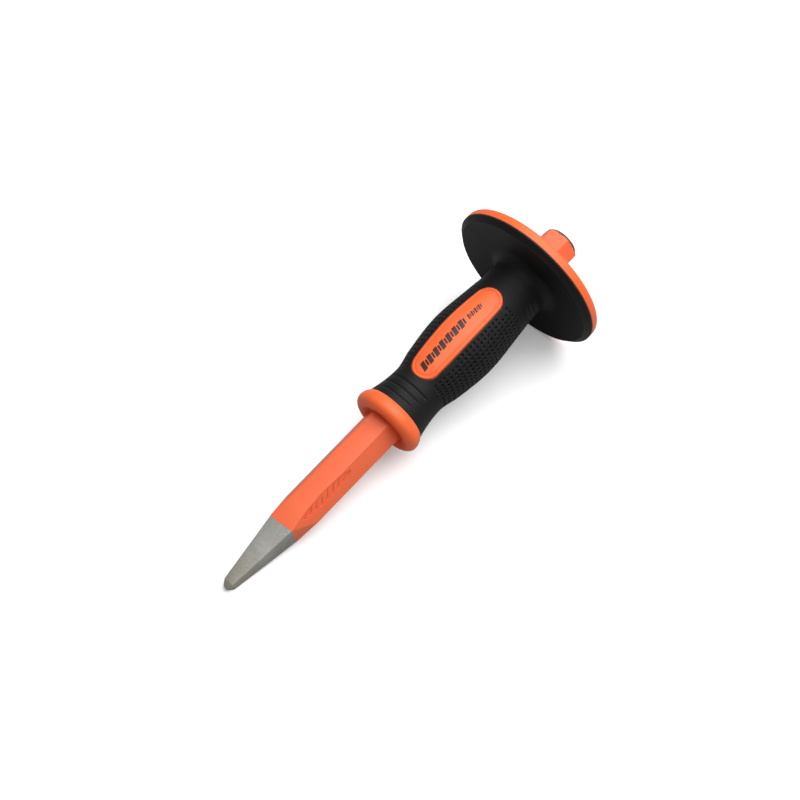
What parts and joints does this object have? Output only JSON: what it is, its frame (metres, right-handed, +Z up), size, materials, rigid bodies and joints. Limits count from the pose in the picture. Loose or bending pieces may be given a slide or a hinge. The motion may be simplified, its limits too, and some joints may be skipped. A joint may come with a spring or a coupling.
{
  "type": "point chisel with hand guard",
  "caption": "Struck point chisel for masonry: hexagonal steel bar with a four-sided point, a moulded rubber grip and a round hand guard.",
  "frame": {"origin": "centre of the tool's footprint on the bench it lies on", "axes": "+Z up from the bench, +X towards the struck head, +Y across the tool; the bar rises at 10.7 degrees from its point, with the label pad facing up"},
  "size_m": [0.2514, 0.0892, 0.0883],
  "materials": {
    "bar_paint": "satin orange paint over forged steel, bare steel at the point",
    "core_plastic": "semi-matt moulded orange plastic",
    "grip_rubber": "matt black moulded rubber"
  },
  "bodies": {
    "root": {"chisel_bar": "bar_paint", "grip_core": "core_plastic", "grip_overmould": "grip_rubber"}
  },
  "joints": []
}
